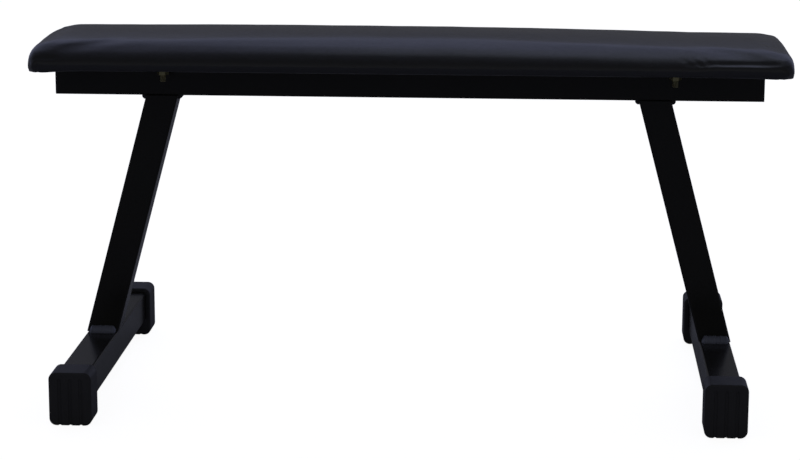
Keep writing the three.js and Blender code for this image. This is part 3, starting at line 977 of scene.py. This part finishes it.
def make_staples():
    bm = bmesh.new()
    hand = random.Random(11)
    level = pad_low.z - WIRE / 2
    for axis in (0, 1):
        reach = CLOTH_HALF[axis] - 12 * MM
        count = max(3, round(2 * reach / STAPLE_GAP))
        for sign in (-1, 1):
            for step in range(count + 1):
                place = Vector((0, 0, level))
                place[axis] = -reach + 2 * reach * step / count + hand.uniform(-4, 4) * MM
                place[1 - axis] = sign * (CLOTH_HALF[1 - axis] - 5 * MM + hand.uniform(-1, 1) * MM)
                turn = (math.pi / 2 if axis else 0.0) + hand.uniform(-0.2, 0.2)
                add_staple(bm, place, turn)
    bmesh.ops.recalc_face_normals(bm, faces=bm.faces)
    return make_piece("pad_staples", bm, staple_wire)


staples = make_staples()
print("staple faces:", len(staples.data.polygons))

# %% [markdown]
# ## Weld beads
# The frame's welds are rows of small overlapping pools of steel, frozen one after another. A bead is
# a ring pushed along the joint in small steps: the ring swells and shrinks once for each pool, and
# its outer side runs ahead of its root, which gives the pools their crescent shape. Each bead takes
# its place and length from the weld in the frame that it stands for.

# %% Lay a bead
POOL_PITCH = 2.3 * MM
POOL_STEPS = 5
BEAD_OUT = 1.7 * MM
POOL_LEAD = 1.3 * MM
BEAD_SIDES = 14
BEAD_SHARP = math.radians(50)


def bead_radius(share, step, sizes, radius):
    pool, phase = divmod(step, POOL_STEPS)
    swell_share = math.sin(math.pi * (phase + 0.5) / POOL_STEPS) ** 0.6
    ends = min(1.0, share * 14, (1 - share) * 14) ** 0.5
    return radius * sizes[pool % len(sizes)] * (0.90 + 0.10 * swell_share) * max(ends, 0.35)


def make_bead(name, corner, outward, axis, length, radius, seed):
    luck = random.Random(seed)
    sizes = [luck.uniform(0.94, 1.06) for _ in range(9)]
    count = round(length / POOL_PITCH) * POOL_STEPS
    bm = bmesh.new()
    first = bead_radius(0.0, 0, sizes, radius)
    ring = bmesh.ops.create_circle(bm, cap_ends=True, segments=BEAD_SIDES, radius=first)["verts"]
    for vertex in ring:
        vertex.co.z += POOL_LEAD * max(vertex.co.y / first, 0.0)
    rim = list({edge for vertex in ring for edge in vertex.link_edges})
    now = first
    for step in range(1, count + 1):
        made = bmesh.ops.extrude_edge_only(bm, edges=rim)["geom"]
        ring = [part for part in made if isinstance(part, bmesh.types.BMVert)]
        rim = [part for part in made if isinstance(part, bmesh.types.BMEdge)]
        wanted = bead_radius(step / count, step, sizes, radius)
        bmesh.ops.scale(bm, vec=(wanted / now, wanted / now, 1), verts=ring)
        bmesh.ops.translate(bm, vec=(0, 0, length / count), verts=ring)
        now = wanted
    bmesh.ops.edgeloop_fill(bm, edges=rim)
    forward = Vector([1.0 if i == axis else 0.0 for i in range(3)])
    out = Vector(outward).normalized()
    frame_of_bead = Matrix((out.cross(forward), out, forward)).transposed()
    bmesh.ops.rotate(bm, matrix=frame_of_bead, verts=bm.verts)
    bmesh.ops.translate(bm, vec=corner + out * BEAD_OUT, verts=bm.verts)
    bmesh.ops.recalc_face_normals(bm, faces=bm.faces)
    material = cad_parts[name].data.materials[0]
    return make_piece("bead_" + name, bm, material, [name], BEAD_SHARP)


print("pools in a bead of 34 mm:", round(34 * MM / POOL_PITCH))


# %% All the beads of the frame
BEAD_WAYS = [
    ("foot_weld_front", (0, -1, 1), 7.6 * MM),
    ("foot_weld_rear", (0, 1, 1), 7.6 * MM),
    ("plate_weld_front", (0, -1, -1), 3.4 * MM),
    ("plate_weld_rear", (0, 1, -1), 3.4 * MM),
    ("rail_weld_outer_left", (-1, 0, -1), 4.2 * MM),
    ("rail_weld_inner_left", (1, 0, -1), 4.2 * MM),
    ("rail_weld_outer_right", (1, 0, -1), 4.2 * MM),
    ("rail_weld_inner_right", (-1, 0, -1), 4.2 * MM),
]


def lay_beads():
    laid = []
    for start, outward, radius in BEAD_WAYS:
        for name in nodes_named(start):
            low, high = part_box(name)
            axis = outward.index(0)
            corner = Vector([low[i] if outward[i] > 0 or i == axis else high[i] for i in range(3)])
            length = high[axis] - low[axis]
            laid.append(make_bead(name, corner, outward, axis, length, radius, len(laid)))
    return laid


beads = lay_beads()
print("beads laid:", len(beads))

# %% [markdown]
# ## Floor, light and camera
# A plain pale floor and a soft room keep the eye on the bench. Black gloss shows whatever it mirrors,
# so the surroundings matter more than the lamps. The light of the room depends on one angle only: how
# far a direction is turned from the horizon behind the bench. It is dim at that horizon, which keeps
# the feet dark, bright and bluish higher up behind, which draws the band of light along the pad, and
# dim again overhead and in front, which keeps the sides of the pad and the frame black. One soft
# panel, high up and a little to the right, adds the glow on that side of the pad.

# %% Floor
FLOOR_RADIUS = 30.0
FLOOR_DROP = 0.2 * MM
FLOOR_SEEN = 0.90
FLOOR_GLOW = 0.93
FLOOR_MIRRORED = 0.65


def make_floor():
    bm = bmesh.new()
    bmesh.ops.create_circle(bm, cap_ends=True, segments=96, radius=FLOOR_RADIUS)
    mesh = bpy.data.meshes.new("studio_floor")
    bm.to_mesh(mesh)
    bm.free()
    paint = new_finish("pale_floor")
    seen = paint.node("ShaderNodeLightPath", output="Is Camera Ray")
    lit = paint.node("ShaderNodeBsdfDiffuse", inputs={"Color": grey(FLOOR_SEEN)})
    glow = paint.node("ShaderNodeEmission", inputs={"Color": grey(1.0), "Strength": FLOOR_GLOW})
    white = paint.node("ShaderNodeAddShader", inputs={0: lit, 1: glow})
    dim = paint.node("ShaderNodeBsdfDiffuse", inputs={"Color": grey(FLOOR_MIRRORED)})
    mixed = paint.node("ShaderNodeMixShader", inputs={0: seen, 1: dim, 2: white})
    paint.join(mixed, paint.tree.nodes["Material Output"].inputs["Surface"])
    mesh.materials.append(paint.material)
    floor = bpy.data.objects.new("studio_floor", mesh)
    floor.location.z = cad_low.z - FLOOR_DROP
    bpy.context.scene.collection.objects.link(floor)


make_floor()
print("floor radius, m:", FLOOR_RADIUS)

# %% Room
# Each stop: the turn from the horizon behind, where 0.5 is overhead and 1 is in front, and the light.
ROOM_LIGHT = [
    (0.00, (0.085, 0.085, 0.090, 1.0)),
    (0.085, (0.068, 0.068, 0.071, 1.0)),
    (0.115, (0.110, 0.112, 0.130, 1.0)),
    (0.155, (0.240, 0.258, 0.385, 1.0)),
    (0.28, (0.240, 0.258, 0.385, 1.0)),
    (0.35, (0.110, 0.115, 0.155, 1.0)),
    (0.43, (0.052, 0.052, 0.058, 1.0)),
    (0.60, (0.060, 0.060, 0.062, 1.0)),
    (0.75, (0.095, 0.096, 0.100, 1.0)),
    (1.00, (0.140, 0.142, 0.150, 1.0)),
]


def make_room():
    world = bpy.data.worlds.new("studio_room")
    bpy.context.scene.world = world
    room = Finish(world)
    direction = room.node("ShaderNodeTexCoord", output="Generated")
    behind = room.node("ShaderNodeSeparateXYZ", inputs={0: direction}, output="Y")
    turn = room.node("ShaderNodeMath", {"operation": "ARCCOSINE"}, {0: behind})
    light = room.ramp(turn * (1 / math.pi), ROOM_LIGHT)
    seen = room.node("ShaderNodeLightPath", output="Is Camera Ray")
    background = room.tree.nodes["Background"]
    room.join(room.blend(seen, light, grey(1.0)), background.inputs["Color"])


make_room()
print("stops of room light:", len(ROOM_LIGHT))

# %% Soft panel
PANEL_SIZE = (1.3, 1.0)
PANEL_POWER = 0.68
PANEL_COLOUR = (0.80, 0.88, 1.0)
PANEL_PLACE = Vector((0.38, 0.75, 2.2))
PANEL_AIM = Vector((0.30, 0.0, 0.30))


def make_panel():
    data = bpy.data.lights.new("soft_panel", "AREA")
    data.shape = "RECTANGLE"
    data.size = PANEL_SIZE[0]
    data.size_y = PANEL_SIZE[1]
    data.energy = PANEL_POWER
    data.color = PANEL_COLOUR
    panel = bpy.data.objects.new("soft_panel", data)
    panel.location = PANEL_PLACE
    panel.rotation_euler = (PANEL_AIM - PANEL_PLACE).to_track_quat("-Z", "Y").to_euler()
    panel.visible_camera = False
    bpy.context.scene.collection.objects.link(panel)


make_panel()
print("panel, m:", PANEL_SIZE)

# %% Camera
CAMERA_LENS_MM = 108.4
CAMERA_SENSOR_MM = 36.0
CAMERA_PLACE = Vector((0.1666, -3.0541, 0.8484))
CAMERA_PITCH = math.radians(-11.98)
CAMERA_YAW = math.radians(3.38)
CAMERA_ROLL = math.radians(0.15)


def make_camera():
    data = bpy.data.cameras.new("studio_camera")
    data.lens = CAMERA_LENS_MM
    data.sensor_width = CAMERA_SENSOR_MM
    camera = bpy.data.objects.new("studio_camera", data)
    turn = Matrix.Rotation(CAMERA_YAW, 4, "Z")
    tilt = Matrix.Rotation(math.pi / 2 + CAMERA_PITCH, 4, "X")
    roll = Matrix.Rotation(CAMERA_ROLL, 4, "Z")
    camera.matrix_world = Matrix.Translation(CAMERA_PLACE) @ turn @ tilt @ roll
    bpy.context.scene.collection.objects.link(camera)
    bpy.context.scene.camera = camera


make_camera()
bpy.context.scene.view_settings.view_transform = "Standard"
print("lens, mm:", CAMERA_LENS_MM)
